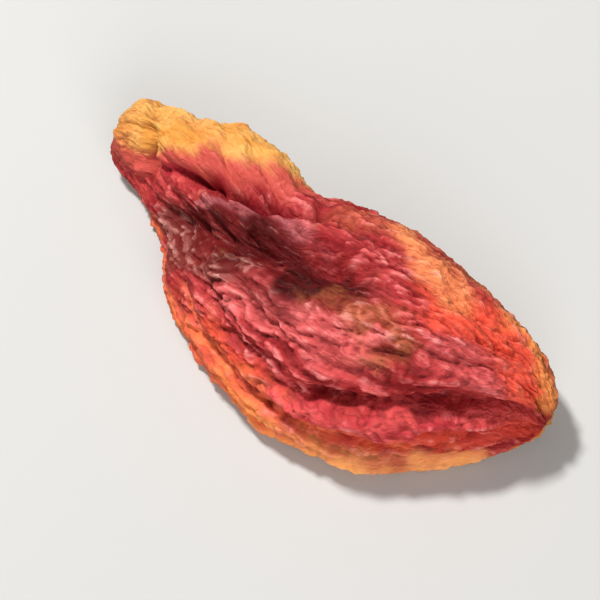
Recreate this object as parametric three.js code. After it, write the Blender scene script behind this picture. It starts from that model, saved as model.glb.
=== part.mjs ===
// A dried apricot half that lies skin side up. It folded along its length as it dried, so it is a long
// almond shape: a nub and a rolled flap at one end, a pinched tip at the other, and under it two lips of
// flesh curled in around the hollow that the stone left.
// Millimetres. X runs from the nub to the tip, Y from the near rim to the far rim, and Z is up. The origin
// is under the middle of the piece, on the surface that it lies on.

import * as THREE from 'three';

// How finely the solid is faceted: stations from nub to tip, and points over the skin and in the hollow
const STATIONS = 60;
const SKIN_POINTS = 78;
const HOLLOW_POINTS = 14;

// How far the lips are pressed flat where they lay on the drying tray
const PRESSED_FLAT = 0.3;

// Ribs from nub to tip: the lowest points of the near and the far rim, the height of the top, and how far
// the hollow has opened, from 0 to 1. The lips are lowest at three places, which the piece rests on.
const RIBS = [
  { near: [-21.3, 3.9, 3.9], far: [-21.3, 3.9, 3.9], top: 3.9, opened: 0 },
  { near: [-21, 2.3, 2.3], far: [-21.1, 6, 2.5], top: 5.8, opened: 0 },
  { near: [-19.9, 1.5, 1.3], far: [-19.8, 7.3, 1.5], top: 7.4, opened: 0 },
  { near: [-17.6, 1.2, 0.7], far: [-17.6, 7.7, 0.9], top: 8.1, opened: 0 },
  { near: [-15, -0.1, 0.3], far: [-15.2, 7.8, 0.8], top: 8.5, opened: 0.05 },
  { near: [-12, -2.9, 0.1], far: [-11.8, 9.6, 0.8], top: 9.4, opened: 0.4 },
  { near: [-8.6, -5.9, 0], far: [-8, 8.9, 0.6], top: 10.1, opened: 0.9 },
  { near: [-4.4, -8.3, 0.2], far: [-3.8, 7.8, 0.3], top: 11, opened: 1 },
  { near: [0.6, -9.9, 0.5], far: [0.6, 9, 0], top: 12, opened: 1 },
  { near: [6, -10.3, 0.5], far: [5.8, 9.5, 0], top: 12.6, opened: 1 },
  { near: [11.2, -8.7, 0.2], far: [11, 8.7, 0.3], top: 12.1, opened: 0.9 },
  { near: [15.5, -5.3, 0.1], far: [15.2, 7.9, 0.6], top: 10.7, opened: 0.4 },
  { near: [18.8, -1.6, 0.5], far: [18.6, 6.7, 1], top: 8.7, opened: 0.05 },
  { near: [20.7, 1, 1.4], far: [20.7, 5.1, 1.8], top: 6.4, opened: 0 },
  { near: [21.4, 1.8, 2.6], far: [21.4, 3.9, 2.8], top: 5, opened: 0 },
  { near: [21.7, 2.8, 3.7], far: [21.7, 2.8, 3.7], top: 3.7, opened: 0 },
];

// The skin's section, from the near lip over the top to the far lip: across, from -1 at the near rim to 1
// at the far rim, and up, as a share of the height
const SKIN_SECTION = [
  [-0.3, 0.13], [-0.38, 0.05], [-0.52, 0.005], [-0.68, 0], [-0.86, 0.03], [-0.97, 0.1], [-0.97, 0.18],
  [-0.92, 0.31], [-0.79, 0.52], [-0.58, 0.73], [-0.32, 0.91], [0, 1], [0.36, 0.97], [0.66, 0.86],
  [0.88, 0.66], [0.98, 0.42], [0.95, 0.2], [0.85, 0.06], [0.68, 0.005], [0.52, 0.005], [0.37, 0.05],
  [0.28, 0.14],
];

// The hollow's section, back from the far lip over the roof to the near lip
const HOLLOW_SECTION = [
  [0.38, 0.24], [0.46, 0.38], [0.38, 0.52], [0.16, 0.58],
  [-0.16, 0.58], [-0.40, 0.52], [-0.48, 0.38], [-0.40, 0.24],
];

// Where the hollow is closed, its section draws in to a shallow seam between the lips
const SEAM_WIDTH = 0.5;
const SEAM_HEIGHT = 0.1;

// The proportions that share the points out evenly over the skin: half the width, and the height
const TYPICAL_SECTION = [9.5, 11.5];

// Creases in the skin: the points that each runs through, as its share from nub to tip and its share over
// the skin from the near lip to the far lip, with its half-width and its depth
const CREASES = [
  {
    name: 'valley',
    line: [
      [0.25, 0.2], [0.31, 0.26], [0.37, 0.34], [0.42, 0.41],
      [0.47, 0.47], [0.51, 0.5], [0.57, 0.515], [0.64, 0.55],
    ],
    width: 2,
    depth: 2.4,
  },
  {
    name: 'under the flap',
    line: [[0.25, 0.34], [0.34, 0.43], [0.405, 0.51], [0.46, 0.57], [0.506, 0.6], [0.49, 0.78]],
    width: 0.7,
    depth: 2.2,
  },
  {
    name: 'behind the nub',
    line: [[0.16, 0.72], [0.175, 0.52], [0.21, 0.36], [0.24, 0.2]],
    width: 0.9,
    depth: 0.9,
  },
  {
    name: 'to the tip',
    line: [[0.56, 0.26], [0.615, 0.295], [0.68, 0.328], [0.745, 0.352], [0.82, 0.352], [0.92, 0.36]],
    width: 1,
    depth: 1.7,
  },
  {
    name: 'above the near rim',
    line: [[0.53, 0.2], [0.62, 0.218], [0.68, 0.225], [0.74, 0.232], [0.88, 0.27]],
    width: 0.8,
    depth: 0.7,
  },
  {
    name: 'over the near rim',
    line: [[0.36, 0.19], [0.458, 0.185], [0.6, 0.182], [0.72, 0.18], [0.86, 0.19]],
    width: 0.6,
    depth: 0.5,
  },
  {
    name: 'far shoulder',
    line: [[0.54, 0.58], [0.6, 0.6], [0.665, 0.605], [0.74, 0.57], [0.9, 0.46]],
    width: 1,
    depth: 0.6,
  },
];

// Ridges that stand up beside them, in the same form
const RIDGES = [
  {
    name: 'flap',
    line: [[0.2, 0.46], [0.26, 0.52], [0.337, 0.59], [0.408, 0.645], [0.47, 0.66]],
    width: 2.2,
    depth: 0.9,
  },
  {
    name: 'below the valley',
    line: [[0.36, 0.29], [0.43, 0.365], [0.506, 0.415], [0.6, 0.44]],
    width: 1.4,
    depth: 0.8,
  },
  {
    name: 'below the tip crease',
    line: [[0.55, 0.232], [0.622, 0.262], [0.69, 0.292], [0.76, 0.306], [0.88, 0.32]],
    width: 0.8,
    depth: 0.7,
  },
];

// Pleats that run the length of the skin and draw together at its ends
const PLEATS = 13;
const PLEAT_DEPTH = 0.85;
const PLEAT_ROUNDNESS = 0.25;

// The height within a pleat, from 0 in its valley to about 1 on its ridge, that stays on the loft
const PLEAT_LEVEL = 0.65;

// How far the pleats wander sideways, in pleats, as waves along the piece and over the skin
const PLEAT_WANDER = [
  { reach: 0.35, alongWaves: 9, overWaves: 5 },
  { reach: 0.2, alongWaves: 21, overWaves: -11 },
];

// How much smoother the flap is than the rest, and how far from its ridge
const FLAP_SMOOTHING = { depth: 0.8, width: 3.2 };

// Where the pleats fade out, as shares of the way in from the nub, from the tip and from either lip, and
// where a crease does, as a share of its line
const NUB_FADE = [0.04, 0.3];
const TIP_FADE = [0, 0.12];
const LIP_FADE = [0.12, 0.22];
const CREASE_FADE = [0, 0.2];

// The colour of dried skin, with its sheen
const SKIN_COLOUR = 0xb4503a;
const SKIN_ROUGHNESS = 0.6;

const clamp = (value, low, high) => Math.min(Math.max(value, low), high);
const mix = (a, b, share) => a + (b - a) * share;

function smoothstep(low, high, value) {
  const share = clamp((value - low) / (high - low), 0, 1);
  return share * share * (3 - 2 * share);
}

// Rises smoothly at the start of a share that runs from 0 to 1, and falls at its end, the same way or another
function fadeAtEnds(share, start, end = start) {
  return smoothstep(...start, share) * smoothstep(...end, 1 - share);
}

// A smooth curve through rows of numbers, at a share from 0 to 1 of its length in rows
function curveThrough(rows, share) {
  const spans = rows.length - 1;
  const first = Math.min(Math.floor(share * spans), spans - 1);
  const part = share * spans - first;
  const [before, start, end, after] = [-1, 0, 1, 2].map((step) => rows[clamp(first + step, 0, spans)]);
  return start.map((value, n) => {
    const slope = (end[n] - before[n]) / 2;
    const slopeEnd = (after[n] - value) / 2;
    const rise = end[n] - value;
    const bend = 3 * rise - 2 * slope - slopeEnd;
    const twist = slope + slopeEnd - 2 * rise;
    return value + part * (slope + part * (bend + part * twist));
  });
}

// Shares that lie at even distances along a curve, which turns a share into numbers in millimetres
function evenShares(curve, count) {
  const steps = 600;
  const run = [0];
  for (let n = 1; n <= steps; n += 1) {
    const [before, here] = [curve((n - 1) / steps), curve(n / steps)];
    run.push(run[n - 1] + Math.hypot(...here.map((value, k) => value - before[k])));
  }
  return Array.from({ length: count }, (_, n) => {
    const wanted = (n / (count - 1)) * run[steps];
    const after = clamp(run.findIndex((length) => length >= wanted), 1, steps);
    return (after - (run[after] - wanted) / (run[after] - run[after - 1])) / steps;
  });
}

const ribRows = RIBS.map(({ near, far, top, opened }) => [...near, ...far, top, opened]);
const stations = evenShares((share) => curveThrough(ribRows, share), STATIONS + 1);

// The skin's section at even distances, in typical proportions
const typicalSkin = SKIN_SECTION.map((place) => place.map((share, n) => share * TYPICAL_SECTION[n]));
const skinShares = evenShares((share) => curveThrough(typicalSkin, share), SKIN_POINTS);
const skinOutline = skinShares.map((share) => curveThrough(SKIN_SECTION, share));

// One section's outline as [across, up] points, for how far the hollow has opened there
function sectionOutline(opened) {
  const hollow = HOLLOW_SECTION.map(([across, up]) => [
    across * mix(SEAM_WIDTH, 1, opened),
    up * mix(SEAM_HEIGHT, 1, opened) + (1 - opened) * SEAM_HEIGHT,
  ]);
  const lipToLip = [SKIN_SECTION.at(-1), ...hollow, SKIN_SECTION[0]];
  const inside = Array.from({ length: HOLLOW_POINTS }, (_, n) => (n + 1) / (HOLLOW_POINTS + 1));
  return [...skinOutline, ...inside.map((share) => curveThrough(lipToLip, share))];
}

// The depth of a crease at a point, fading out at the crease's ends
function creaseAt({ path, width, depth }, point) {
  const nearest = new THREE.Vector3();
  const leg = new THREE.Line3();
  let distance = Infinity;
  let share = 0;
  for (let n = 0; n + 1 < path.length; n += 1) {
    leg.set(path[n], path[n + 1]);
    const onLeg = leg.closestPointToPointParameter(point, true);
    leg.at(onLeg, nearest);
    if (nearest.distanceTo(point) < distance) {
      distance = nearest.distanceTo(point);
      share = (n + onLeg) / (path.length - 1);
    }
  }
  return depth * fadeAtEnds(share, CREASE_FADE) * Math.exp(-((distance / width) ** 2));
}

// Rounded pleats with sharp valleys between them, for a share along the piece and a share over the skin
function pleatAt(along, over) {
  let place = PLEATS * over;
  for (const { reach, alongWaves, overWaves } of PLEAT_WANDER) {
    place += reach * Math.sin(alongWaves * along + overWaves * over);
  }
  const wave = Math.hypot(Math.sin(Math.PI * place), PLEAT_ROUNDNESS);
  return PLEAT_DEPTH * (wave - PLEAT_LEVEL);
}

// A point of the loft, before its relief, at a share from nub to tip and an [across, up] of its section
function loftPoint(along, [across, up]) {
  const [nearX, nearY, nearZ, farX, farY, farZ, top] = curveThrough(ribRows, along);
  const share = (across + 1) / 2;
  return new THREE.Vector3(
    mix(nearX, farX, share),
    mix(nearY, farY, share),
    mix(mix(nearZ, farZ, share), top, up),
  );
}

// A crease or ridge with its path laid over the loft
function laidOverSkin(crease) {
  const path = crease.line.map(([along, over]) => {
    const nearest = skinOutline[Math.round(over * (SKIN_POINTS - 1))];
    return loftPoint(along, nearest);
  });
  return { ...crease, path };
}

// The loft's rings of points from nub to tip
function loftRings() {
  return stations.map((along) => {
    const opened = clamp(curveThrough(ribRows, along).at(-1), 0, 1);
    return sectionOutline(opened).map((place) => loftPoint(along, place));
  });
}

const creases = CREASES.map(laidOverSkin);
const ridges = RIDGES.map(laidOverSkin);
const flap = { ...ridges.find(({ name }) => name === 'flap'), ...FLAP_SMOOTHING };

// The relief of the skin: pleats, creases and ridges, outward from the loft
function skinRelief(point, along, over) {
  const pleated = fadeAtEnds(along, NUB_FADE, TIP_FADE) * fadeAtEnds(over, LIP_FADE);
  let relief = pleatAt(along, over) * pleated * (1 - creaseAt(flap, point));
  for (const crease of creases) relief -= creaseAt(crease, point);
  for (const ridge of ridges) relief += creaseAt(ridge, point);
  return relief;
}

function apricotGeometry() {
  const rings = loftRings();
  const around = SKIN_POINTS + HOLLOW_POINTS;
  const carved = rings.map((ring, station) => ring.map((point, n) => {
    if (n >= SKIN_POINTS || station === 0 || station === STATIONS) return point.clone();
    const lengthways = new THREE.Vector3().subVectors(rings[station + 1][n], rings[station - 1][n]);
    const across = new THREE.Vector3().subVectors(ring[(n + 1) % around], ring[(n + around - 1) % around]);
    const outward = lengthways.cross(across).normalize();
    const relief = skinRelief(point, stations[station], n / (SKIN_POINTS - 1));
    return point.clone().addScaledVector(outward, relief);
  }));

  const positions = [];
  for (const ring of carved.slice(1, -1)) {
    for (const point of ring) positions.push(point.x, point.y, Math.max(point.z - PRESSED_FLAT, 0));
  }
  const ringCount = STATIONS - 1;
  const nub = ringCount * around;
  const tip = nub + 1;
  for (const end of [carved[0][0], carved[STATIONS][0]]) positions.push(end.x, end.y, end.z - PRESSED_FLAT);

  const distance = (a, b) => Math.hypot(...[0, 1, 2].map((n) => positions[3 * a + n] - positions[3 * b + n]));
  const faces = [];
  for (let n = 0; n < around; n += 1) {
    const next = (n + 1) % around;
    faces.push(nub, n, next);
    for (let ring = 0; ring + 1 < ringCount; ring += 1) {
      const [a, b] = [ring * around + n, ring * around + next];
      const [c, d] = [a + around, b + around];
      if (distance(a, d) < distance(b, c)) faces.push(a, c, d, a, d, b);
      else faces.push(a, c, b, b, c, d);
    }
    const last = (ringCount - 1) * around;
    faces.push(tip, last + next, last + n);
  }
  const geometry = new THREE.BufferGeometry();
  geometry.setAttribute('position', new THREE.Float32BufferAttribute(positions, 3));
  geometry.setIndex(faces);
  geometry.computeBoundingBox();
  const middle = geometry.boundingBox.getCenter(new THREE.Vector3());
  geometry.translate(-middle.x, -middle.y, 0);
  geometry.computeVertexNormals();
  return geometry;
}

const skin = new THREE.MeshStandardMaterial({ color: SKIN_COLOUR, roughness: SKIN_ROUGHNESS, metalness: 0 });
const apricot = new THREE.Mesh(apricotGeometry(), skin);
apricot.name = 'dried_apricot';

const driedApricotHalf = new THREE.Group();
driedApricotHalf.add(apricot);

export default driedApricotHalf;
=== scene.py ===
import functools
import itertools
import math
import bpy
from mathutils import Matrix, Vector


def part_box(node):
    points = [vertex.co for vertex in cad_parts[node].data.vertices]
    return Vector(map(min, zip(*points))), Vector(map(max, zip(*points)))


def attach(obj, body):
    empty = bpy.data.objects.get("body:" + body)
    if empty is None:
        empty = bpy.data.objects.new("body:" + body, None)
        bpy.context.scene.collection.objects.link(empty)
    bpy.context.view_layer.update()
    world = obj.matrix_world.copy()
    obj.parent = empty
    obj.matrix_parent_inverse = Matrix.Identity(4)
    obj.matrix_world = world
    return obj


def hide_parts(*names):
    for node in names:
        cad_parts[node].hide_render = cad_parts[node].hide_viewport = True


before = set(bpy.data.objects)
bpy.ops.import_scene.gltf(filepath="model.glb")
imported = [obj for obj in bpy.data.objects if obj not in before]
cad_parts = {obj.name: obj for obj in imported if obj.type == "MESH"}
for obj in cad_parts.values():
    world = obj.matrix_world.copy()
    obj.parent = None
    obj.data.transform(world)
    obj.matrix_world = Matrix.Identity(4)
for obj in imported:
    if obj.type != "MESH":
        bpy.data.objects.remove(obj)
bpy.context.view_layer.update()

# A dried apricot half, skin side up. Its surface is made here as one fine mesh on the same ribs, section,
# creases and pleats as the solid, with the finer wrinkles of the skin and the fibres of the flesh on it.
# Blender's units are metres. The shape's own values are millimetres, as in the part's source, and a place
# on the skin is two shares: along, from the nub to the tip, and over, from the near lip to the far lip.

from types import SimpleNamespace

import bpy
import numpy as np
from mathutils import Vector

MM = 0.001

# How finely the surface is meshed: stations from nub to tip, points over the skin, points in the hollow
STATIONS = 340
SKIN_POINTS = 240
HOLLOW_POINTS = 46
AROUND = SKIN_POINTS + HOLLOW_POINTS

# At how many points a curve is measured before others are shared out evenly along it
CURVE_POINTS = 6000

# The least length that a direction is divided by
LEAST_LENGTH = 1e-9

# How far the lips are pressed flat where they lay on the drying tray
PRESSED_FLAT = 0.3

# Ribs from nub to tip: the lowest point of the near rim and of the far rim, the height of the top, and
# how far the hollow has opened, from 0 to 1
RIBS = [
    (-21.3, 3.9, 3.9, -21.3, 3.9, 3.9, 3.9, 0),
    (-21, 2.3, 2.3, -21.1, 6, 2.5, 5.8, 0),
    (-19.9, 1.5, 1.3, -19.8, 7.3, 1.5, 7.4, 0),
    (-17.6, 1.2, 0.7, -17.6, 7.7, 0.9, 8.1, 0),
    (-15, -0.1, 0.3, -15.2, 7.8, 0.8, 8.5, 0.05),
    (-12, -2.9, 0.1, -11.8, 9.6, 0.8, 9.4, 0.4),
    (-8.6, -5.9, 0, -8, 8.9, 0.6, 10.1, 0.9),
    (-4.4, -8.3, 0.2, -3.8, 7.8, 0.3, 11, 1),
    (0.6, -9.9, 0.5, 0.6, 9, 0, 12, 1),
    (6, -10.3, 0.5, 5.8, 9.5, 0, 12.6, 1),
    (11.2, -8.7, 0.2, 11, 8.7, 0.3, 12.1, 0.9),
    (15.5, -5.3, 0.1, 15.2, 7.9, 0.6, 10.7, 0.4),
    (18.8, -1.6, 0.5, 18.6, 6.7, 1, 8.7, 0.05),
    (20.7, 1, 1.4, 20.7, 5.1, 1.8, 6.4, 0),
    (21.4, 1.8, 2.6, 21.4, 3.9, 2.8, 5, 0),
    (21.7, 2.8, 3.7, 21.7, 2.8, 3.7, 3.7, 0),
]

# The skin's section from the near lip over the top to the far lip, as shares across and up
SKIN_SECTION = [
    (-0.3, 0.13), (-0.38, 0.05), (-0.52, 0.005), (-0.68, 0), (-0.86, 0.03), (-0.97, 0.1), (-0.97, 0.18),
    (-0.92, 0.31), (-0.79, 0.52), (-0.58, 0.73), (-0.32, 0.91), (0, 1), (0.36, 0.97), (0.66, 0.86),
    (0.88, 0.66), (0.98, 0.42), (0.95, 0.2), (0.85, 0.06), (0.68, 0.005), (0.52, 0.005), (0.37, 0.05),
    (0.28, 0.14),
]

# The hollow's section, back from the far lip over the roof to the near lip
HOLLOW_SECTION = [
    (0.38, 0.24), (0.46, 0.38), (0.38, 0.52), (0.16, 0.58), (-0.16, 0.58), (-0.4, 0.52), (-0.48, 0.38),
    (-0.4, 0.24),
]

# Where the hollow is closed, its section draws in to a shallow seam between the lips
SEAM_WIDTH = 0.5
SEAM_HEIGHT = 0.1

# The proportions that share the points out evenly over the skin: half the width, and the height
TYPICAL_SECTION = (9.5, 11.5)

# How far it is over the skin from lip to lip at the widest section
SKIN_LENGTH = 36

# Creases: half-width, depth, and the places that each runs through
CREASES = {
    "valley": (2, 2.4, [
        (0.25, 0.2), (0.31, 0.26), (0.37, 0.34), (0.42, 0.41), (0.47, 0.47), (0.51, 0.5), (0.57, 0.515),
        (0.64, 0.55)]),
    "under the flap": (0.7, 2.2, [
        (0.25, 0.34), (0.34, 0.43), (0.405, 0.51), (0.46, 0.57), (0.506, 0.6), (0.49, 0.78)]),
    "behind the nub": (0.9, 0.9, [(0.16, 0.72), (0.175, 0.52), (0.21, 0.36), (0.24, 0.2)]),
    "to the tip": (1, 1.7, [
        (0.56, 0.26), (0.615, 0.295), (0.68, 0.328), (0.745, 0.352), (0.82, 0.352), (0.92, 0.36)]),
    "above the near rim": (0.8, 0.7, [
        (0.53, 0.2), (0.62, 0.218), (0.68, 0.225), (0.74, 0.232), (0.88, 0.27)]),
    "over the near rim": (0.6, 0.5, [
        (0.36, 0.19), (0.458, 0.185), (0.6, 0.182), (0.72, 0.18), (0.86, 0.19)]),
    "far shoulder": (1, 0.6, [(0.54, 0.58), (0.6, 0.6), (0.665, 0.605), (0.74, 0.57), (0.9, 0.46)]),
}

# Ridges that stand up beside them, in the same form
RIDGES = {
    "flap": (2.2, 0.9, [(0.2, 0.46), (0.26, 0.52), (0.337, 0.59), (0.408, 0.645), (0.47, 0.66)]),
    "below the valley": (1.4, 0.8, [(0.36, 0.29), (0.43, 0.365), (0.506, 0.415), (0.6, 0.44)]),
    "below the tip crease": (0.8, 0.7, [
        (0.55, 0.232), (0.622, 0.262), (0.69, 0.292), (0.76, 0.306), (0.88, 0.32)]),
}

# Narrow lines pressed into the skin, in the same form, and how far they waver
FINE_CREASES = {
    "under the flap": (0.32, 0.8, [
        (0.2, 0.3), (0.25, 0.345), (0.34, 0.43), (0.405, 0.51), (0.46, 0.57), (0.506, 0.6), (0.56, 0.61)]),
    "in the tip crease": (0.35, 0.6, [
        (0.48, 0.235), (0.56, 0.262), (0.615, 0.295), (0.68, 0.328), (0.745, 0.352), (0.9, 0.357)]),
    "inside the tip rim": (0.35, 0.5, [
        (0.72, 0.61), (0.779, 0.577), (0.822, 0.54), (0.874, 0.502), (0.94, 0.43)]),
    "behind the nub": (0.35, 0.5, [(0.16, 0.72), (0.175, 0.52), (0.21, 0.36), (0.24, 0.2)]),
    "below the valley": (0.3, 0.45, [
        (0.34, 0.24), (0.41, 0.345), (0.455, 0.41), (0.5, 0.45), (0.56, 0.46)]),
    "upper flank": (0.3, 0.45, [(0.38, 0.28), (0.45, 0.335), (0.52, 0.37), (0.6, 0.39), (0.7, 0.395)]),
    "lower flank": (0.3, 0.45, [(0.42, 0.27), (0.5, 0.29), (0.58, 0.315), (0.66, 0.352), (0.76, 0.375)]),
    "near rim": (0.3, 0.4, [(0.38, 0.22), (0.46, 0.232), (0.55, 0.232), (0.62, 0.21), (0.72, 0.195)]),
    "shoulder": (0.3, 0.5, [(0.5, 0.62), (0.55, 0.61), (0.6, 0.59), (0.66, 0.585), (0.74, 0.56)]),
    "low band": (0.25, 0.45, [(0.5, 0.248), (0.6, 0.262), (0.69, 0.276), (0.78, 0.288), (0.92, 0.31)]),
    "high band": (0.25, 0.4, [(0.56, 0.27), (0.64, 0.292), (0.71, 0.308), (0.8, 0.318), (0.9, 0.325)]),
    "below the band": (0.25, 0.4, [
        (0.48, 0.22), (0.58, 0.225), (0.67, 0.23), (0.77, 0.245), (0.9, 0.27)]),
}
LINE_WAVER = 0.5

# Soft folds across the flap, in the same form
SOFT_FOLDS = {
    "first": (0.8, 0.45, [(0.2, 0.6), (0.229, 0.506), (0.256, 0.456)]),
    "second": (0.8, 0.5, [(0.25, 0.66), (0.287, 0.54), (0.315, 0.475)]),
    "third": (0.8, 0.5, [(0.29, 0.7), (0.325, 0.585), (0.36, 0.52)]),
    "fourth": (0.8, 0.45, [(0.335, 0.72), (0.365, 0.63), (0.4, 0.585)]),
}

# The share of its line over which a crease, a ridge or a fold fades out at each end
CREASE_FADE = 0.2

# Where relief sets in, is full, begins to fade and has gone: that of pleats, dents and flesh along the
# piece, and over the skin that of the large pleats and of all that is finer
ALONG_FADE = (0.04, 0.3, 0.88, 1)
PLEATED = (0.12, 0.22, 0.78, 0.88)
WRINKLED = (0.07, 0.14, 0.86, 0.93)

# Pleats that run the length of the skin and draw together at its ends: how many, how deep, how rounded
# their valleys are, and the height within a pleat, from 0 to about 1, that is level with the loft
PLEATS = 13
PLEAT_DEPTH = 0.85
PLEAT_ROUNDNESS = 0.25
PLEAT_LEVEL = 0.65

# How far the pleats wander sideways, in pleats, as waves along the piece and over the skin
PLEAT_WANDER = [(0.35, 9, 5), (0.2, 21, -11)]

# How much fainter the pleats are on the flap, and how far from its ridge
FLAP_SMOOTHING = 0.8
FLAP_SMOOTH_WIDTH = 3.2

# How much fainter the fine pleats and wrinkles are in the valley, round a line at the end of the flap, and
# on the far side, which begins and is full at these shares over the skin
VALLEY_SMOOTHING = 0.1
FLAP_END_SMOOTHING = 0.8
FLAP_END = (1.8, [(0.34, 0.53), (0.38, 0.56), (0.42, 0.6), (0.46, 0.64), (0.5, 0.66), (0.56, 0.67)])
FAR_SMOOTHING = 0.5
FAR_SIDE = (0.56, 0.72)

# What is left of them on the nub and on the smoothest of the flap, where along the piece the nub gives way
# to the body, and the power of the girth by which they shrink where the piece is slender
LEFT_ON_NUB = 0.35
LEFT_ON_FLAP = 0.35
NUB = (0.06, 0.3)
SLENDER_POWER = 0.7

# Fine pleats between the large ones, from broad to narrow: how many there are in two kinds of patch, and
# how deep they are. Where the patches meet, the pleats split and join.
PLEAT_SETS = [(24, 29, 0.12), (44, 53, 0.3), (76, 88, 0.26)]

# A patch's size and how softly it ends, and the height within a fine pleat, from 0 to 1, that is level
# with the skin
PATCH_SIZE = (3.4, 2, 2)
PATCH_EDGE = 0.12
FINE_PLEAT_LEVEL = 0.62

# How strong the fine pleats are from place to place: the middle, the reach, the limits, and a place's size
FINE_PLEAT_STRENGTH = 0.85
FINE_PLEAT_REACH = 0.8
FINE_PLEAT_LIMITS = (0.2, 1.5)
FINE_PLEAT_PLACE = (2.6, 1.3, 1.3)

# How they bend, in pleats: the length and width of a bend, the reach of coarse and of finer bends with how
# much finer these are, the size of a quiver, and how much more each narrower set bends and quivers
BEND_SIZE = (7, 5)
BENDS = [(0.9, 1), (0.4, 2.7)]
QUIVER_SIZE = (2.4, 1.6, 1.6)
MORE_IN_NARROWER = 0.5

# How far the fine pleats turn to run along the valley, how far from it they do, and where over the skin
# its middle lies
TURNED_SHARE = 0.5
TURNED_WIDTH = 7
VALLEY_MIDDLE = 0.38

# Wrinkles that run lengthways, from coarse to fine: depth, length, spacing, and what the noise starts from
WRINKLES = [(0.18, 4.5, 1.3, 41), (0.36, 1.5, 0.42, 44)]

# How far the wrinkles bend, the height within one, from 0 to 1, that is level with the skin, and how far
# apart in the noise the coarse and the fine ones lie
WRINKLE_BEND = 1.5
WRINKLE_LEVEL = 0.3
WRINKLE_LAYERS = 7.5

# Crumples all over the skin: how deep, how far apart, the height within one, from 0 to about 1, that is
# level with the skin, and how much deeper they are on the tan patch
CRUMPLE_DEPTH = 0.24
CRUMPLE_SPACING = 0.6
CRUMPLE_LEVEL = 0.45
TAN_ROUGHNESS = 0.4

# Dents: how deep, and how far apart
DENT_DEPTH = 0.2
DENT_SPACING = 3.4

# How far the skin is set in under its fine relief
FINE_INSET = 0.08

# Lumps, fibres and crumples of the flesh: how deep, and how far apart or, for a fibre, its three sizes
FLESH_LUMP_DEPTH = 0.7
FLESH_LUMP_SPACING = 2.6
FIBRE_DEPTH = 0.4
FIBRE_SIZE = (0.8, 3.2, 3.2)
FLESH_CRUMPLE_DEPTH = 0.12

# How much fainter they are in the seam where the hollow is closed, and where over the skin it begins
SEAM_SMOOTHING = 0.92
SEAM_START = (0.9, 0.98)

# How near the sides of the solid's box the surface is drawn in to stay inside it; higher is nearer
DRAWN_IN = 6

# Where colours change over the skin: the lower edge of the orange on the nub and flap, and the upper edge
# of the orange rim on the near side
FLAP_EDGE = [
    (0, 0.26), (0.145, 0.285), (0.203, 0.33), (0.282, 0.45), (0.313, 0.5), (0.339, 0.54), (0.396, 0.605),
    (0.43, 0.66), (0.46, 0.72), (0.485, 0.8), (0.51, 1.2), (1, 1.2),
]
RIM_EDGE = [
    (0, 0.12), (0.3, 0.15), (0.38, 0.2), (0.42, 0.235), (0.51, 0.24), (0.57, 0.215), (0.62, 0.192),
    (0.694, 0.178), (0.765, 0.162), (0.83, 0.13), (0.9, 0.115), (1, 0.14),
]

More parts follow.
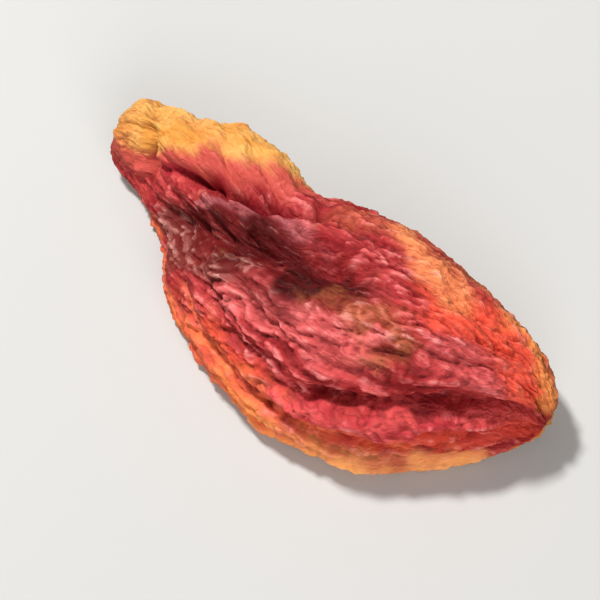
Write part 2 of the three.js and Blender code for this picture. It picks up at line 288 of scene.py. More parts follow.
# Zones of colour that lie along lines over the skin: half-width, and the places that each runs through.
# The valley's shade and dark zones and the zone under the nub are painted shade, the zone on the near
# side is painted light, and the lip is a painted highlight
ZONES = {
    # Painted shade along the valley, in this zone and the dark one after it
    "shade": (2.2, [
        (0.25, 0.2), (0.308, 0.243), (0.366, 0.35), (0.436, 0.46), (0.473, 0.5), (0.506, 0.498),
        (0.56, 0.49), (0.61, 0.51), (0.66, 0.53)]),
    "dark": (1.8, [
        (0.38, 0.37), (0.41, 0.41), (0.44, 0.445), (0.473, 0.475), (0.506, 0.48), (0.55, 0.47),
        (0.59, 0.5), (0.63, 0.53)]),
    "bloom": (1.9, [
        (0.24, 0.19), (0.285, 0.215), (0.311, 0.225), (0.35, 0.255), (0.41, 0.331), (0.443, 0.381),
        (0.48, 0.41), (0.54, 0.43)]),
    "strip": (0.6, [
        (0.27, 0.26), (0.313, 0.325), (0.36, 0.4), (0.396, 0.448), (0.438, 0.504), (0.478, 0.548),
        (0.51, 0.556), (0.6, 0.56)]),
    "low ridge": (1.8, [
        (0.41, 0.34), (0.448, 0.389), (0.5, 0.427), (0.538, 0.435), (0.571, 0.439), (0.63, 0.42)]),
    "pink middle": (2.2, [(0.44, 0.33), (0.5, 0.36), (0.56, 0.39), (0.62, 0.405), (0.7, 0.41)]),
    "right body": (2, [(0.66, 0.48), (0.71, 0.47), (0.76, 0.45), (0.82, 0.43)]),
    "low band": (1.3, [
        (0.5, 0.225), (0.56, 0.235), (0.622, 0.262), (0.69, 0.288), (0.76, 0.3), (0.92, 0.33)]),
    # A painted highlight along the lip below the tip crease
    "lip": (0.6, [
        (0.5, 0.205), (0.56, 0.235), (0.622, 0.262), (0.69, 0.29), (0.76, 0.308), (0.86, 0.323),
        (0.94, 0.33)]),
    "tan": (2.2, [(0.54, 0.445), (0.575, 0.455), (0.61, 0.458), (0.65, 0.455), (0.69, 0.44)]),
    "shoulder": (1.3, [
        (0.47, 0.63), (0.513, 0.636), (0.542, 0.653), (0.577, 0.64), (0.66, 0.66), (0.76, 0.67)]),
    "spot": (1.7, [(0.55, 0.64), (0.6, 0.632), (0.642, 0.625), (0.67, 0.618), (0.73, 0.6)]),
    "coral": (2.6, [
        (0.6, 0.59), (0.67, 0.57), (0.713, 0.6), (0.765, 0.573), (0.819, 0.52), (0.92, 0.45)]),
    "tip rim": (1.2, [
        (0.68, 0.69), (0.744, 0.66), (0.784, 0.649), (0.816, 0.615), (0.869, 0.59), (0.97, 0.42)]),
    # Painted light on the near side above the rim
    "painted light on the near side": (1.4, [
        (0.4, 0.24), (0.45, 0.26), (0.525, 0.24), (0.6, 0.225), (0.68, 0.225), (0.76, 0.24), (0.9, 0.27)]),
    # Painted shade under the nub
    "shade under the nub": (1.5, [(0, 0.22), (0.04, 0.24), (0.08, 0.25), (0.13, 0.26), (0.18, 0.28)]),
    "near tip": (1.4, [(0.7, 0.225), (0.76, 0.235), (0.83, 0.25), (0.89, 0.27), (0.97, 0.31)]),
}

# The share of its line over which a zone fades out at each end
ZONE_FADE = 0.25

# Half the width of the crimson along the crack under the flap
CRACK_WIDTH = 0.7

# How far the edges of the colours are stirred
COLOUR_STIR = {"coarse stir": 1.2, "fine stir": 0.6}

# What the noise of each random pattern starts from
SEEDS = {
    "bends": 11, "crumples": 17, "quiver": 19, "dents": 21, "flesh lumps": 31, "fibres": 32,
    "flesh crumples": 35, "waver": 55, "patches": 61, "strength": 71, "coarse stir": 81, "fine stir": 86,
}

# How much wider the cells that stir points are than how far they move them
STIR_CELL = 2.5

# The random numbers of the noise: how the cells are turned askew to the piece, so that they don't show in
# it, and the shifts and factors that scramble a cell's number
CELL_TURN = np.array([[2, -1, 2], [2, 2, -1], [-1, 2, 2]]) / 3
CELL_FACTORS = np.array([73856093, 19349663, 83492791])
SEED_FACTOR = 2654435761
SCRAMBLING = [(15, 2246822519), (13, 3266489917)]

# The camera: its angles round the piece and above it in degrees, then in metres how far off it stands, the
# nearest that it sees, how wide it sees and where it looks, and last its sensor's width
CAMERA_AZIMUTH = 37
CAMERA_ELEVATION = 62
CAMERA_DISTANCE = 0.3
NEAREST_SEEN = 0.01
VIEW_WIDTH = 0.047
AIM = (0, 0, 0.0045)
SENSOR_WIDTH = 36

# The floor that the piece lies on, from its middle to its edge, and the even light from all round
FLOOR_REACH = 1.5
FLOOR_COLOUR = (0.5, 0.495, 0.48, 1)
FLOOR_ROUGHNESS = 0.9
WHITE = (1, 1, 1, 1)
EVEN_LIGHT = 0.24


def smoothstep(low, high, value):
    share = np.clip((value - low) / (high - low), 0, 1)
    return share * share * (3 - 2 * share)


def within(value, start, full, fading, end):
    """Rises smoothly from 0 at the start to 1 where full, and falls again from fading to the end."""
    return smoothstep(start, full, value) * smoothstep(end, fading, value)


def mix(a, b, share):
    return a + (b - a) * share


def curve_through(rows, shares):
    """Points on a smooth curve through rows of numbers, at shares from 0 to 1 of its length in rows."""
    rows = np.asarray(rows, dtype=float)
    spans = len(rows) - 1
    shares = np.atleast_1d(shares)
    first = np.minimum(np.floor(shares * spans).astype(int), spans - 1)
    part = (shares * spans - first)[:, None]
    before, start, end, after = (rows[np.clip(first + step, 0, spans)] for step in (-1, 0, 1, 2))
    slope = (end - before) / 2
    slope_end = (after - start) / 2
    rise = end - start
    bend = 3 * rise - 2 * slope - slope_end
    twist = slope + slope_end - 2 * rise
    return start + part * (slope + part * (bend + part * twist))


def even_shares(rows, count):
    """Shares that lie at even distances along the smooth curve through rows."""
    shares = np.linspace(0, 1, CURVE_POINTS)
    steps = np.linalg.norm(np.diff(curve_through(rows, shares), axis=0), axis=1)
    run = np.concatenate([[0], np.cumsum(steps)])
    return np.interp(np.linspace(0, run[-1], count), run, shares)


def noise(points, seed):
    """Smooth noise from -1 to 1 at rows of three coordinates, one cell to each unit."""
    points = points @ CELL_TURN
    cells = np.floor(points).astype(np.int64)
    part = points - cells
    fade = part * part * part * (part * (6 * part - 15) + 10)
    total = np.zeros(len(points))
    for corner in itertools.product((0, 1), repeat=3):
        key = (cells + corner) @ CELL_FACTORS + seed * SEED_FACTOR
        for shift, factor in SCRAMBLING:
            key = (key ^ (key >> shift)) * factor & 0xFFFFFFFF
        level = ((key ^ (key >> 16)) & 0xFFFF) / (0xFFFF / 2) - 1
        total += level * np.prod(np.where(corner, fade, 1 - fade), axis=1)
    return total


def billows(points, seed, octaves=2):
    """Rounded swellings with sharp valleys between them, from 0 to about 1."""
    return sum(np.abs(noise(points * 2 ** n, seed + n)) / 2 ** n for n in range(octaves))


def stirred(points, reach, seed):
    """The points moved about at random by up to a reach, near ones together."""
    moves = [noise(points / (STIR_CELL * reach), seed + n) for n in range(3)]
    return points + reach * np.stack(moves, axis=1)


@functools.cache
def skin_outline():
    """The skin's section as [across, up] points at even distances."""
    typical = np.array(SKIN_SECTION) * TYPICAL_SECTION
    return curve_through(SKIN_SECTION, even_shares(typical, SKIN_POINTS))


def section_outline(opened):
    """One section's [across, up] points, skin first and then hollow, for how far the hollow has opened."""
    width = mix(SEAM_WIDTH, 1, opened)
    height = mix(SEAM_HEIGHT, 1, opened)
    lift = (1 - opened) * SEAM_HEIGHT
    hollow = [(across * width, up * height + lift) for across, up in HOLLOW_SECTION]
    lip_to_lip = [SKIN_SECTION[-1], *hollow, SKIN_SECTION[0]]
    inside = curve_through(lip_to_lip, np.arange(1, HOLLOW_POINTS + 1) / (HOLLOW_POINTS + 1))
    return np.concatenate([skin_outline(), inside])


def loft(along, outline):
    """Points of the loft before its relief, for one rib's share and its section's [across, up] points."""
    near_x, near_y, near_z, far_x, far_y, far_z, top, _ = curve_through(RIBS, along)[0]
    share = (outline[:, 0] + 1) / 2
    under = mix(near_z, far_z, share)
    return np.stack([
        mix(near_x, far_x, share),
        mix(near_y, far_y, share),
        mix(under, top, outline[:, 1]),
    ], axis=1)


def beside_line(half_width, line, points, faded=CREASE_FADE):
    """How near each point is to a line over the skin, from 1 on it to 0 well beside it and at its ends."""
    skin = skin_outline()
    path = np.array([loft(along, skin[[round(over * (SKIN_POINTS - 1))]])[0] for along, over in line])
    nearest = np.full(len(points), np.inf)
    share = np.zeros(len(points))
    for leg in range(len(path) - 1):
        start, span = path[leg], path[leg + 1] - path[leg]
        on_leg = np.clip((points - start) @ span / (span @ span), 0, 1)
        distance = np.linalg.norm(points - start - on_leg[:, None] * span, axis=1)
        closer = distance < nearest
        nearest = np.where(closer, distance, nearest)
        share = np.where(closer, (leg + on_leg) / (len(path) - 1), share)
    return within(share, 0, faded, 1 - faded, 1) * np.exp(-((nearest / half_width) ** 2))


def depth_of(creases, points):
    """How deep a table's creases press each point in, or how far its ridges raise it."""
    return sum(depth * beside_line(width, line, points) for width, depth, line in creases.values())


def pleat_relief(along, over):
    wander = sum(
        reach * np.sin(along_waves * along + over_waves * over)
        for reach, along_waves, over_waves in PLEAT_WANDER)
    wave = np.hypot(np.sin(np.pi * (PLEATS * over + wander)), PLEAT_ROUNDNESS)
    return PLEAT_DEPTH * (wave - PLEAT_LEVEL)


def turned_to_valley(along, over):
    """The share over the skin, shifted so that what follows it turns to run along the valley beside it."""
    valley = np.interp(along, *zip(*CREASES["valley"][-1]))
    beside = np.exp(-(((over - valley) * SKIN_LENGTH / TURNED_WIDTH) ** 2))
    return over - TURNED_SHARE * beside * (valley - VALLEY_MIDDLE)


def fine_pleats(points, over, bends):
    """Fine pleats in three sets, which split and join where patches meet."""
    quiver = noise(points / QUIVER_SIZE, SEEDS["quiver"])
    relief = 0
    for n, (some, more, depth) in enumerate(PLEAT_SETS):
        patch = smoothstep(-PATCH_EDGE, PATCH_EDGE, noise(points / PATCH_SIZE, SEEDS["patches"] + n))
        shift = (1 + MORE_IN_NARROWER * n) * bends + MORE_IN_NARROWER * n * quiver
        waves = [np.abs(np.sin(np.pi * (count * over + shift))) for count in (some, more)]
        varied = FINE_PLEAT_REACH * noise(points / FINE_PLEAT_PLACE, SEEDS["strength"] + n)
        strength = np.clip(FINE_PLEAT_STRENGTH + varied, *FINE_PLEAT_LIMITS)
        relief = relief + depth * (mix(*waves, patch) - FINE_PLEAT_LEVEL) * strength
    return relief


def wrinkles(points, over, bends):
    """Wrinkles that run lengthways, in coarse and fine sets."""
    level = np.zeros(len(points))
    relief = 0
    for n, (depth, length, spacing, seed) in enumerate(WRINKLES):
        across = over * SKIN_LENGTH / spacing + WRINKLE_BEND * bends / spacing
        streaks = np.stack([points[:, 0] / length, across, level + WRINKLE_LAYERS * n], axis=1)
        relief = relief + depth * (billows(streaks, seed, octaves=1) - WRINKLE_LEVEL)
    return relief


def fine_relief(points, along, over, girth, pleated):
    """The skin's fine pleats, wrinkles and crumples; what runs lengthways draws together at the ends."""
    bend_length, bend_width = BEND_SIZE
    level = np.zeros(len(points))
    lengthways = np.stack([
        points[:, 0] / bend_length, over * girth * SKIN_LENGTH / bend_width, level], axis=1)
    bends = sum(
        reach * noise(lengthways * finer, SEEDS["bends"] + n) for n, (reach, finer) in enumerate(BENDS))
    on_nub = mix(LEFT_ON_NUB, 1, smoothstep(*NUB, along))
    on_far_side = 1 - FAR_SMOOTHING * smoothstep(*FAR_SIDE, over)
    strength = girth ** SLENDER_POWER * mix(LEFT_ON_FLAP, 1, pleated) * on_nub * on_far_side
    rough = 1 + TAN_ROUGHNESS * beside_line(*ZONES["tan"], points)
    crumples = billows(points / CRUMPLE_SPACING, SEEDS["crumples"]) - CRUMPLE_LEVEL
    drawn = (fine_pleats(points, over, bends) + wrinkles(points, over, bends)) * strength
    return drawn + CRUMPLE_DEPTH * rough * crumples


def flesh_relief(points):
    lumps = FLESH_LUMP_DEPTH * noise(points / FLESH_LUMP_SPACING, SEEDS["flesh lumps"])
    fibres = FIBRE_DEPTH * (billows(points / FIBRE_SIZE, SEEDS["fibres"]) - CRUMPLE_LEVEL)
    crumples = billows(points / CRUMPLE_SPACING, SEEDS["flesh crumples"]) - CRUMPLE_LEVEL
    return lumps + fibres + FLESH_CRUMPLE_DEPTH * crumples


def lofted():
    """The loft before its relief: where each ring is along it, how far it has opened, and its points."""
    stations = even_shares(RIBS, STATIONS + 1)
    opened = np.clip(curve_through(RIBS, stations)[:, -1], 0, 1)
    rings = np.array([loft(along, section_outline(share)) for along, share in zip(stations, opened)])
    return stations, opened, rings


def outward_from(rings):
    """The outward direction at each point of the loft, from its neighbours; none at the two ends."""
    lengthways = np.gradient(rings, axis=0)
    across = np.roll(rings, -1, axis=1) - np.roll(rings, 1, axis=1)
    outward = np.cross(lengthways, across)
    outward /= np.maximum(np.linalg.norm(outward, axis=2, keepdims=True), LEAST_LENGTH)
    outward[[0, -1]] = 0
    return outward


def colour_marks(points, wavering, along, over):
    """What places the colours: the zones, the crack, the orange's two edges, and where each point lies."""
    moved = points
    for name, reach in COLOUR_STIR.items():
        moved = stirred(moved, reach, SEEDS[name])
    ragged = (moved[:, 1] - points[:, 1]) / SKIN_LENGTH
    on_skin = over <= 1
    marks = {name: beside_line(*zone, moved, ZONE_FADE) * on_skin for name, zone in ZONES.items()}
    marks["crack"] = beside_line(CRACK_WIDTH, FINE_CREASES["under the flap"][-1], wavering) * on_skin
    marks["flap"] = over - np.interp(along, *zip(*FLAP_EDGE)) + ragged
    marks["rim"] = np.interp(along, *zip(*RIM_EDGE)) - over + ragged
    marks["along"] = along
    marks["over"] = np.minimum(over, 1)
    marks["hollow"] = over > 1
    return marks


def surface():
    """The fine surface as a grid of points with what the finish needs at each of them."""
    stations, opened, rings = lofted()
    points = rings.reshape(-1, 3)
    wavering = stirred(points, LINE_WAVER, SEEDS["waver"])
    along = np.repeat(stations, AROUND)
    over = np.tile(np.arange(AROUND) / (SKIN_POINTS - 1), STATIONS + 1)
    ring_length = np.linalg.norm(np.diff(rings[:, :SKIN_POINTS], axis=1), axis=2).sum(axis=1)
    girth = np.repeat(ring_length / ring_length.max(), AROUND)
    ends = within(along, *ALONG_FADE)
    wrinkled = within(over, *WRINKLED)

    # The folds: the large pleats with the ridges and creases
    pleated = 1 - FLAP_SMOOTHING * beside_line(FLAP_SMOOTH_WIDTH, RIDGES["flap"][-1], points)
    pleats = pleat_relief(along, over) * ends * within(over, *PLEATED) * pleated
    creases = depth_of(CREASES, points)
    lines = depth_of(FINE_CREASES, wavering)
    folds = pleats + depth_of(RIDGES, points) - creases - lines - depth_of(SOFT_FOLDS, wavering)

    # The fine relief of the skin, and that of the flesh on the lips and in the hollow
    valley_width, _, valley_line = CREASES["valley"]
    in_valley = beside_line(valley_width, valley_line, points)
    at_flap_end = beside_line(*FLAP_END, points)
    finely_pleated = pleated * (1 - VALLEY_SMOOTHING * in_valley) * (1 - FLAP_END_SMOOTHING * at_flap_end)
    run = turned_to_valley(along, over)
    fine = fine_relief(points, along, run, girth, finely_pleated) * wrinkled
    dents = DENT_DEPTH * noise(points / DENT_SPACING, SEEDS["dents"])
    in_seam = smoothstep(*SEAM_START, over) * (1 - np.repeat(opened, AROUND))
    flesh = flesh_relief(points) * (1 - wrinkled) * ends * (1 - SEAM_SMOOTHING * in_seam)

    on_skin = (over <= 1).astype(float)
    relief = on_skin * folds + fine - FINE_INSET * wrinkled * ends + dents * wrinkled * ends + flesh
    carved = rings + outward_from(rings) * relief.reshape(STATIONS + 1, AROUND, 1)
    carved[..., 2] = np.maximum(carved[..., 2] - PRESSED_FLAT, 0)

    marks = colour_marks(points, wavering, along, over)
    marks.update(run=run, crease=creases, fine=fine, line=lines)
    grids = {name: mark.reshape(STATIONS + 1, AROUND).astype(float) for name, mark in marks.items()}
    return carved, grids


def fitted(points):
    """The points in metres, centred on the solid's box, and drawn in near its sides to stay inside it."""
    low, high = (np.array(corner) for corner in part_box("dried_apricot"))
    own_low, own_high = points.min(axis=0) * MM, points.max(axis=0) * MM
    middle, own_middle = (low + high) / 2, (own_low + own_high) / 2
    middle[2] = own_middle[2] = low[2]
    reach, own_reach = high - middle, own_high - own_middle
    share = (points * MM - own_middle) / own_reach
    excess = np.maximum(own_reach - reach, 0)
    return middle + share * (own_reach - excess * np.abs(share) ** DRAWN_IN)


def apricot():
    """The piece: rings of points with a point at each end, and the marks that its finish reads."""
    grid, marks = surface()
    rings = STATIONS - 1
    points = fitted(np.concatenate([grid[1:-1].reshape(-1, 3), grid[0, :1], grid[-1, :1]]))
    nub, tip = rings * AROUND, rings * AROUND + 1

    faces = []
    last = (rings - 1) * AROUND
    for n in range(AROUND):
        after = (n + 1) % AROUND
        faces.append((nub, n, after))
        for here in range(0, last, AROUND):
            ahead = here + AROUND
            faces.append((here + n, ahead + n, ahead + after, here + after))
        faces.append((tip, last + after, last + n))

    mesh = bpy.data.meshes.new("apricot_skin_and_flesh")
    mesh.from_pydata(points.tolist(), [], faces)
    mesh.shade_smooth()
    for name, mark in marks.items():
        values = np.concatenate([mark[1:-1].ravel(), mark[0, :1], mark[-1, :1]])
        mesh.attributes.new(name, "FLOAT", "POINT").data.foreach_set("value", values)
    piece = bpy.data.objects.new("apricot_skin_and_flesh", mesh)
    bpy.context.collection.objects.link(piece)
    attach(piece, "root")
    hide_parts("dried_apricot")
    return piece


# Colours as the eye reads them: the blush, the valley and the bloom, the tan patch, the reds, the orange
# of nub, flap and far side, the near rim, and the flesh. Some are painted light: shade painted in the
# creases, furrows, valley and under the nub, and highlights, glints and light painted on what stands up
# and on the near side
CRIMSON = "b83a3a"
DARK_CRIMSON = "8c1a1e"
# Painted shade in the creases, the pressed lines, the furrows and what is sunk
PAINTED_CREASE_SHADE = "680c10"
CRACK_CRIMSON = "a82434"
# Pink of the skin in two zones, and a painted highlight on what stands up
PINK_AND_PAINTED_HIGHLIGHT = "de6a68"
# Painted glints on what stands up
PAINTED_GLINT_PINK = "f2aea6"
ROSE = "c45246"
# Painted shade in the valley
VALLEY_SHADE_RED = "5c0a08"
VALLEY_SHADE_MAROON = "300200"
MAUVE_BLOOM = "6a2e28"
PALE_BLOOM_AND_HIGHLIGHT = "bc8074"
# The pale of the bloom, laid on its raised lines as a painted highlight
LOW_MAUVE = "642222"
LILAC = "b86468"
TAN = "8c3c24"
PALE_TAN = "aa643e"
# Painted light on the near side above the rim
RED_ORANGE_PAINTED_LIGHT = "e4512e"
BRIGHT_CRIMSON = "c43a40"
RED_BROWN = "bc5a40"
# Painted shade under the nub
NUB_SHADE_RED = "923a30"
PEACH = "ee8e58"
CORAL = "f05a40"
SCARLET = "cc402e"
# Painted highlight on the lip
SALMON_HIGHLIGHT = "e0605a"
ORANGE = "d69040"
PALE_ORANGE = "e8ae60"
RIM_ORANGE = "f49450"
NEAR_RIM = "ee8240"
# A paler rim, laid more on what stands up as a painted highlight
PALE_RIM = "f89a50"
# Painted light on the near rim towards the tip
PAINTED_LIGHT_RIM = "ffae68"
RIM_RED = "e25e44"
RIM_BROWN = "b8501e"
FLESH = "d06c1c"
PALE_FLESH = "e6943c"
DEEP_FLESH = "84380e"

# What lies over the crimson in each zone: its colour, its strength, and where in the zone it sets in
ZONE_COLOURS = [
    # Painted light on the near side above the rim
    ("painted light on the near side", RED_ORANGE_PAINTED_LIGHT, 0.6, 0.15),
    ("low band", BRIGHT_CRIMSON, 0.75, 0.15),
    ("right body", PINK_AND_PAINTED_HIGHLIGHT, 0.35, 0.15),
    ("near tip", SCARLET, 0.75, 0.1),
    # Painted highlight on the lip
    ("lip", SALMON_HIGHLIGHT, 0.4, 0.1),
    ("bloom", MAUVE_BLOOM, 0.8, 0.15),
    ("pink middle", PINK_AND_PAINTED_HIGHLIGHT, 0.5, 0.2),
    ("low ridge", LOW_MAUVE, 0.4, 0.1),
    # Painted shade in the valley
    ("shade", VALLEY_SHADE_RED, 0.85, 0.1),
    ("dark", VALLEY_SHADE_MAROON, 0.92, 0.1),
    ("strip", LILAC, 0.6, 0.1),
    ("coral", CORAL, 0.85, 0.1),
    ("shoulder", RED_BROWN, 0.7, 0.15),
    ("spot", PEACH, 0.8, 0.15),
    ("tip rim", RIM_ORANGE, 0.9, 0.1),
]

# Over how much of a zone its colour becomes full
ZONE_RISE = 0.7

# How ragged the edges of the zones, the tan patch, the orange far side, the near rim and the crack are,
# and how mottled the tan patch's are
ZONE_RAGGEDNESS = 6
TAN_RAGGEDNESS = 8
FAR_RAGGEDNESS = 2
RIM_RAGGEDNESS = 1.6
CRACK_RAGGEDNESS = 3
TAN_MOTTLING = 1.6

# How strongly painted glints lie on what is raised, and how strongly painted shade in dark red lies on
# what is sunk
GLINT = 0.34
SUNK_PAINTED_SHADE = 0.42

# Patterns of colour: streaks and fine lines in cells along and over the skin, the others in cells a metre
STREAKS = (12, 50)
FINE_LINES = (36, 90)
BLOTS = 120.0
MOTTLE = 330.0
SPECKS = 1300.0
PEBBLES = 2600.0

# How coarse and how twisted the furrows are beside the fine lines, and how rough all these patterns are
FURROW_SCALE = 0.8
FURROW_TWIST = 0.8
PATTERN_ROUGHNESS = 0.55

# Where the fine relief counts as raised and as sunk, in millimetres
RAISED = (0.0, 0.34)
SUNK = (-0.04, -0.26)

# How far streaks and mottling make edges ragged, as shares over the skin
STREAK_RAGGEDNESS = 0.06
MOTTLE_RAGGEDNESS = 0.07

# The painted light and shade that the relief gives the blush, lighter where raised and darker where sunk:
# its middle, its reach, and how strongly it is laid on
RELIEF_SHADING_MIDDLE = 0.48
RELIEF_SHADING_REACH = 0.15
RELIEF_SHADING_STRENGTH = 0.9

# Where the finish changes over the skin: from the near lip's flesh to skin, from the blush to the orange
# of the far side, and from skin to the far lip's flesh
NEAR_FLESH = (0.1, 0.15)
FAR_ORANGE = (0.66, 0.86)
FAR_FLESH = (0.82, 0.9)

# Where along the piece the near rim takes painted light towards the tip, and becomes red towards the nub
PAINTED_LIGHT_TO_TIP = (0.54, 0.68)
RED_TO_NUB = (0.64, 0.44)

# The skin's roughness and how far specks change it, and the gloss on what stands up
ROUGHNESS = 0.63
SPECKLED = 0.3
GLOSS = 0.35

# The bump: how far it stands out, in metres, how strongly, and the shares of furrows and pebbles in it
BUMP_DISTANCE = 0.0003
BUMP_STRENGTH = 0.7
FURROW_BUMP = 2.2
PEBBLE_BUMP = 0.5


def linear(code):
    """The linear colour of an sRGB colour written as six hex digits."""
    parts = [int(code[n:n + 2], 16) / 255 for n in (0, 2, 4)]
    return tuple(part / 12.92 if part <= 0.04045 else ((part + 0.055) / 1.055) ** 2.4 for part in parts)


class Value:
    """A shader socket that works in Python expressions: each operator adds its Math node."""

    def __init__(self, finish, socket):
        self.finish = finish
        self.socket = socket

    def _math(self, operation, first, second):
        return self.finish.add("ShaderNodeMath", {"operation": operation}, {0: first, 1: second})

    def __add__(self, other):
        return self._math("ADD", self, other)

    def __sub__(self, other):
        return self._math("SUBTRACT", self, other)

    def __rsub__(self, other):
        return self._math("SUBTRACT", other, self)

    def __mul__(self, other):
        return self._math("MULTIPLY", self, other)

    def __pow__(self, other):
        return self._math("POWER", self, other)

    __radd__ = __add__
    __rmul__ = __mul__


class Finish:
    """A material in the making. Every node comes from add, which sets its settings first."""

    def __init__(self, name):
        self.material = bpy.data.materials.new(name)
        self.material.use_nodes = True
        self.nodes = self.material.node_tree.nodes
        self.links = self.material.node_tree.links
        self.nodes.clear()

    def add(self, kind, settings=None, sockets=None, out=0):
        node = self.nodes.new(kind)
        for name, value in (settings or {}).items():
            setattr(node, name, value)
        for name, value in (sockets or {}).items():
            if isinstance(value, Value):
                self.links.new(value.socket, node.inputs[name])
            else:
                node.inputs[name].default_value = value
        return Value(self, node.outputs[out]) if node.outputs else None

    def mark(self, name):
        return self.add("ShaderNodeAttribute", {"attribute_name": name}, out="Fac")

    def step(self, value, low, high):
        """Rises smoothly from 0 to 1 as value goes from low to high."""
        settings = {"interpolation_type": "SMOOTHSTEP"}
        return self.add("ShaderNodeMapRange", settings, {0: value, 1: low, 2: high})

    def blend(self, share, under, over, mode="MIX"):
        """One colour laid over another by a share; each is a value or a colour's code."""
        under, over = ((*linear(code), 1) if isinstance(code, str) else code for code in (under, over))
        # A Mix node takes a share at socket 0 and colours at 6 and 7, and gives a colour at output 2
        settings = {"data_type": "RGBA", "blend_type": mode}
        return self.add("ShaderNodeMix", settings, {0: share, 6: under, 7: over}, out=2)

    def laid(self, colour, layers):
        """The colour with layers on it, each a row: what it follows, where it sets in, where it is full,
        its strength, and its colour."""
        for value, start, full, strength, over in layers:
            colour = self.blend(self.step(value, start, full) * strength, colour, over)
        return colour

    def clouds(self, place, scale, detail=3, twist=0):
        """Soft noise that varies round 0.5."""
        return self.add("ShaderNodeTexNoise", {"noise_dimensions": "3D"}, {
            "Vector": place,
            "Scale": scale,
            "Detail": detail,
            "Roughness": PATTERN_ROUGHNESS,
            "Distortion": twist,
        })

    def stretched(self, along, over):
        """A place for clouds that are drawn out along the skin."""
        return self.add("ShaderNodeCombineXYZ", {}, {0: along, 1: over, 2: 0.0})


def patterns(finish):
    """The marks and patterns that the colours are made from."""
    names = ("along", "over", "run", "hollow", "crease", "fine", "line", "flap", "rim", "bloom")
    on = SimpleNamespace(**{name: finish.mark(name) for name in names})
    place = finish.add("ShaderNodeTexCoord", out="Object")
    streak_place = finish.stretched(on.along * STREAKS[0], on.run * STREAKS[1])
    line_place = finish.stretched(on.along * FINE_LINES[0], on.run * FINE_LINES[1])
    on.streaks = finish.clouds(streak_place, 1.0, detail=4)
    on.glints = finish.clouds(line_place, 1.0)
    furrows = finish.clouds(line_place, FURROW_SCALE, twist=FURROW_TWIST) - 0.5
    on.furrow_depth = (furrows * furrows) ** 0.5
    on.blots = finish.clouds(place, BLOTS)
    on.mottle = finish.clouds(place, MOTTLE)
    on.specks = finish.clouds(place, SPECKS)
    on.pebbles = finish.clouds(place, PEBBLES, detail=2)
    on.ragged = (on.streaks - 0.5) * STREAK_RAGGEDNESS + (on.mottle - 0.5) * MOTTLE_RAGGEDNESS
    on.raised = finish.step(on.fine, *RAISED)
    on.sunk = finish.step(on.fine, *SUNK)
    return on


def blush(finish, on):
    """Crimson with the zones over it, with painted highlights and glints on what stands up and painted
    shade in the furrows.
    """
    colour = finish.laid(DARK_CRIMSON, [(on.streaks, 0.35, 0.62, 1, CRIMSON)])
    # Painted highlight: pink on what stands up
    colour = finish.blend(on.raised * (0.45 + 0.3 * on.mottle), colour, PINK_AND_PAINTED_HIGHLIGHT)
    colour = finish.laid(colour, [
        (finish.mark(name) + on.ragged * ZONE_RAGGEDNESS, start, start + ZONE_RISE, strength, over)
        for name, over, strength, start in ZONE_COLOURS
    ])
    tan = finish.laid(TAN, [(on.mottle, 0.4, 0.65, 1, PALE_TAN)])
    tan_place = finish.mark("tan") + (on.mottle - 0.5) * TAN_MOTTLING + on.ragged * TAN_RAGGEDNESS
    colour = finish.laid(colour, [(tan_place, 0.2, 1.0, 0.7, tan)])
    # Painted light and shade from the relief
    painted_relief_shading = (on.raised - on.sunk) * RELIEF_SHADING_REACH + RELIEF_SHADING_MIDDLE
    colour = finish.blend(RELIEF_SHADING_STRENGTH, colour, painted_relief_shading, mode="OVERLAY")
    # Painted shade in what is sunk
    colour = finish.blend(on.sunk * SUNK_PAINTED_SHADE, colour, PAINTED_CREASE_SHADE)
    pale_streaks = finish.step(on.glints, 0.47, 0.6)
    return finish.laid(colour, [
        # The bloom, painted paler on its raised lines as a highlight
        (on.fine, 0.02, 0.18, (0.3 + 0.6 * pale_streaks) * on.bloom, PALE_BLOOM_AND_HIGHLIGHT),
        # Painted shade in the bloom's furrows
        (on.fine, 0.0, -0.16, on.bloom * 0.6, PAINTED_CREASE_SHADE),
        # Painted glints on what is raised, outside the valley's painted shade
        (on.glints, 0.5, 0.62, on.raised * (GLINT - GLINT * finish.mark("dark")), PAINTED_GLINT_PINK),
        # Painted shade along the furrows of the bump
        (on.furrow_depth, 0.06, 0.0, 0.4, PAINTED_CREASE_SHADE),
    ])


def orange_skin(finish, on):
    """The orange of the nub, the flap and the far side, with a painted highlight on what stands up and
    painted shade in what is sunk.
    """
    colour = finish.laid(ORANGE, [
        (on.mottle, 0.35, 0.65, 1, PALE_ORANGE),
        (on.blots, 0.5, 0.68, 0.5, ROSE),
        (on.specks, 0.58, 0.68, 0.3, RIM_BROWN),
    ])
    # Painted highlight on what stands up, and painted shade in what is sunk
    colour = finish.blend(on.raised * 0.5, colour, PALE_ORANGE)
    return finish.blend(on.sunk * 0.6, colour, RIM_BROWN)


def near_rim(finish, on):
    """The near rim: orange with red streaks, a painted highlight on what stands up, and painted light
    where it turns to the tip.
    """
    colour = finish.laid(RIM_BROWN, [(on.streaks, 0.3, 0.5, 1, NEAR_RIM)])
    # Paler everywhere a little, and more on what stands up as a painted highlight
    colour = finish.blend(0.15 + 0.5 * on.raised, colour, PALE_RIM)
    # Painted light on the rim towards the tip
    painted_light_to_tip = finish.step(on.along, *PAINTED_LIGHT_TO_TIP)
    to_nub = finish.step(on.along, *RED_TO_NUB)
    red = finish.step(on.streaks, 0.6, 0.4) * 0.6 + to_nub * on.mottle * 0.9
    colour = finish.blend(red * (1 - 0.6 * painted_light_to_tip), colour, RIM_RED)
    return finish.blend(painted_light_to_tip * (0.65 + 0.35 * on.mottle), colour, PAINTED_LIGHT_RIM)


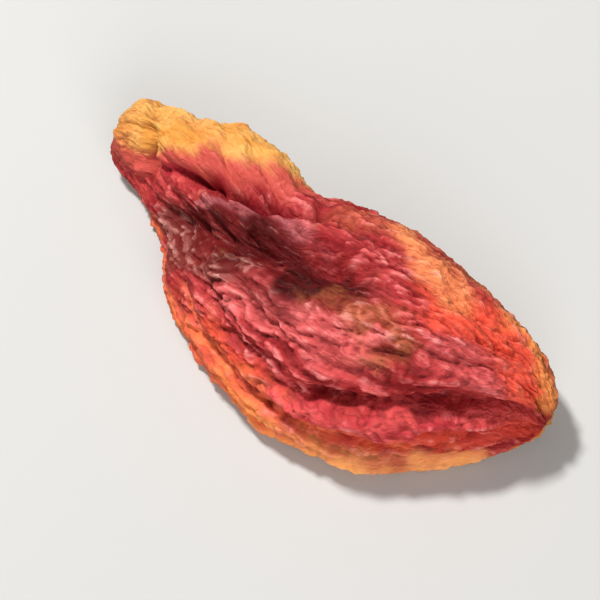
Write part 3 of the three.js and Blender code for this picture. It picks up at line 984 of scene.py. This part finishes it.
def whole_skin(finish, on):
    """The blush with rose and orange at the nub and flap, painted shade under the nub, the orange far
    side, the rim, and painted shade in the creases and lines.
    """
    orange = orange_skin(finish, on)
    flap = on.flap + on.ragged
    crack = finish.mark("crack") + on.ragged * CRACK_RAGGEDNESS
    return finish.laid(blush(finish, on), [
        (flap, -0.13, -0.05, 0.85, ROSE),
        # Painted shade under the nub
        (finish.mark("shade under the nub"), 0.1, 0.7, 0.6, NUB_SHADE_RED),
        (flap, -0.03, 0.03, 1, orange),
        (on.over + on.ragged * FAR_RAGGEDNESS, *FAR_ORANGE, 0.92, orange),
        (on.rim + on.ragged * RIM_RAGGEDNESS, -0.07, 0.04, 1, near_rim(finish, on)),
        # Painted shade in the creases and the pressed lines
        (on.crease, 0.8, 2.2, 0.4, PAINTED_CREASE_SHADE),
        (on.line, 0.12, 0.6, 0.4, PAINTED_CREASE_SHADE),
        (crack, 0.15, 0.9, 0.5 + 0.5 * on.streaks, CRACK_CRIMSON),
    ])


def bare_flesh(finish, on):
    """The flesh on the lips, deeper in the hollow."""
    colour = finish.laid(FLESH, [
        (on.mottle, 0.35, 0.65, 1, PALE_FLESH),
        (on.blots, 0.5, 0.7, 0.5, RIM_BROWN),
    ])
    return finish.blend(on.hollow * (0.5 + 0.6 * on.blots), colour, DEEP_FLESH)


def dried_fruit():
    """Blushed skin over orange flesh."""
    finish = Finish("dried_fruit")
    on = patterns(finish)
    edge = on.over + on.ragged
    bare = 1 - finish.step(edge, *NEAR_FLESH) + finish.step(edge, *FAR_FLESH)
    bump = finish.add("ShaderNodeBump", {}, {
        "Strength": BUMP_STRENGTH,
        "Distance": BUMP_DISTANCE,
        "Height": on.furrow_depth * FURROW_BUMP + on.pebbles * PEBBLE_BUMP,
    })
    shader = finish.add("ShaderNodeBsdfPrincipled", {}, {
        "Base Color": finish.blend(bare, whole_skin(finish, on), bare_flesh(finish, on)),
        "Roughness": ROUGHNESS + (on.specks - 0.5) * SPECKLED,
        "Normal": bump,
        "Subsurface Weight": 0.12,
        "Subsurface Radius": (1.0, 0.4, 0.2),
        "Subsurface Scale": 0.001,
        "Specular IOR Level": 0.13,
        "Coat Weight": on.raised * on.mottle * (GLOSS - GLOSS * finish.mark("shade")),
        "Coat Roughness": 0.35,
    })
    finish.add("ShaderNodeOutputMaterial", {}, {"Surface": shader})
    return finish.material


def pale_floor():
    finish = Finish("pale_floor")
    shader = finish.add("ShaderNodeBsdfPrincipled", {}, {
        "Base Color": FLOOR_COLOUR,
        "Roughness": FLOOR_ROUGHNESS,
    })
    finish.add("ShaderNodeOutputMaterial", {}, {"Surface": shader})
    return finish.material


def aimed(name, data, azimuth, elevation, distance):
    """A camera or lamp that looks at the piece, at an angle round it and above it in degrees."""
    around, up = math.radians(azimuth), math.radians(elevation)
    back = Vector((math.sin(around) * math.cos(up), -math.cos(around) * math.cos(up), math.sin(up)))
    seat = bpy.data.objects.new(name, data)
    seat.location = Vector(AIM) + back * distance
    seat.rotation_euler = (-back).to_track_quat("-Z", "Y").to_euler()
    bpy.context.collection.objects.link(seat)
    return seat


def camera():
    data = bpy.data.cameras.new("camera")
    data.sensor_width = SENSOR_WIDTH
    data.lens = SENSOR_WIDTH * CAMERA_DISTANCE / VIEW_WIDTH
    data.clip_start = NEAREST_SEEN
    bpy.context.scene.camera = aimed("camera", data, CAMERA_AZIMUTH, CAMERA_ELEVATION, CAMERA_DISTANCE)


def lamp(name, azimuth, elevation, distance, size, power):
    data = bpy.data.lights.new(name, "AREA")
    data.size = size
    data.energy = power
    aimed(name, data, azimuth, elevation, distance)


def floor():
    corners = [(x * FLOOR_REACH, y * FLOOR_REACH, 0) for x, y in ((-1, -1), (1, -1), (1, 1), (-1, 1))]
    mesh = bpy.data.meshes.new("floor")
    mesh.from_pydata(corners, [], [(0, 1, 2, 3)])
    mesh.materials.append(pale_floor())
    ground = bpy.data.objects.new("floor", mesh)
    bpy.context.collection.objects.link(ground)


def studio():
    """A small lamp like the sun, a large soft one from the other side, and even light from all round."""
    floor()
    lamp("key", azimuth=-100, elevation=62, distance=0.4, size=0.05, power=1.95)
    lamp("fill", azimuth=48, elevation=30, distance=0.5, size=0.4, power=1.85)
    world = bpy.data.worlds.new("studio")
    world.use_nodes = True
    world.node_tree.nodes["Background"].inputs["Color"].default_value = WHITE
    world.node_tree.nodes["Background"].inputs["Strength"].default_value = EVEN_LIGHT
    bpy.context.scene.world = world
    bpy.context.scene.view_settings.view_transform = "Standard"


camera()
piece = apricot()
piece.data.materials.append(dried_fruit())
studio()
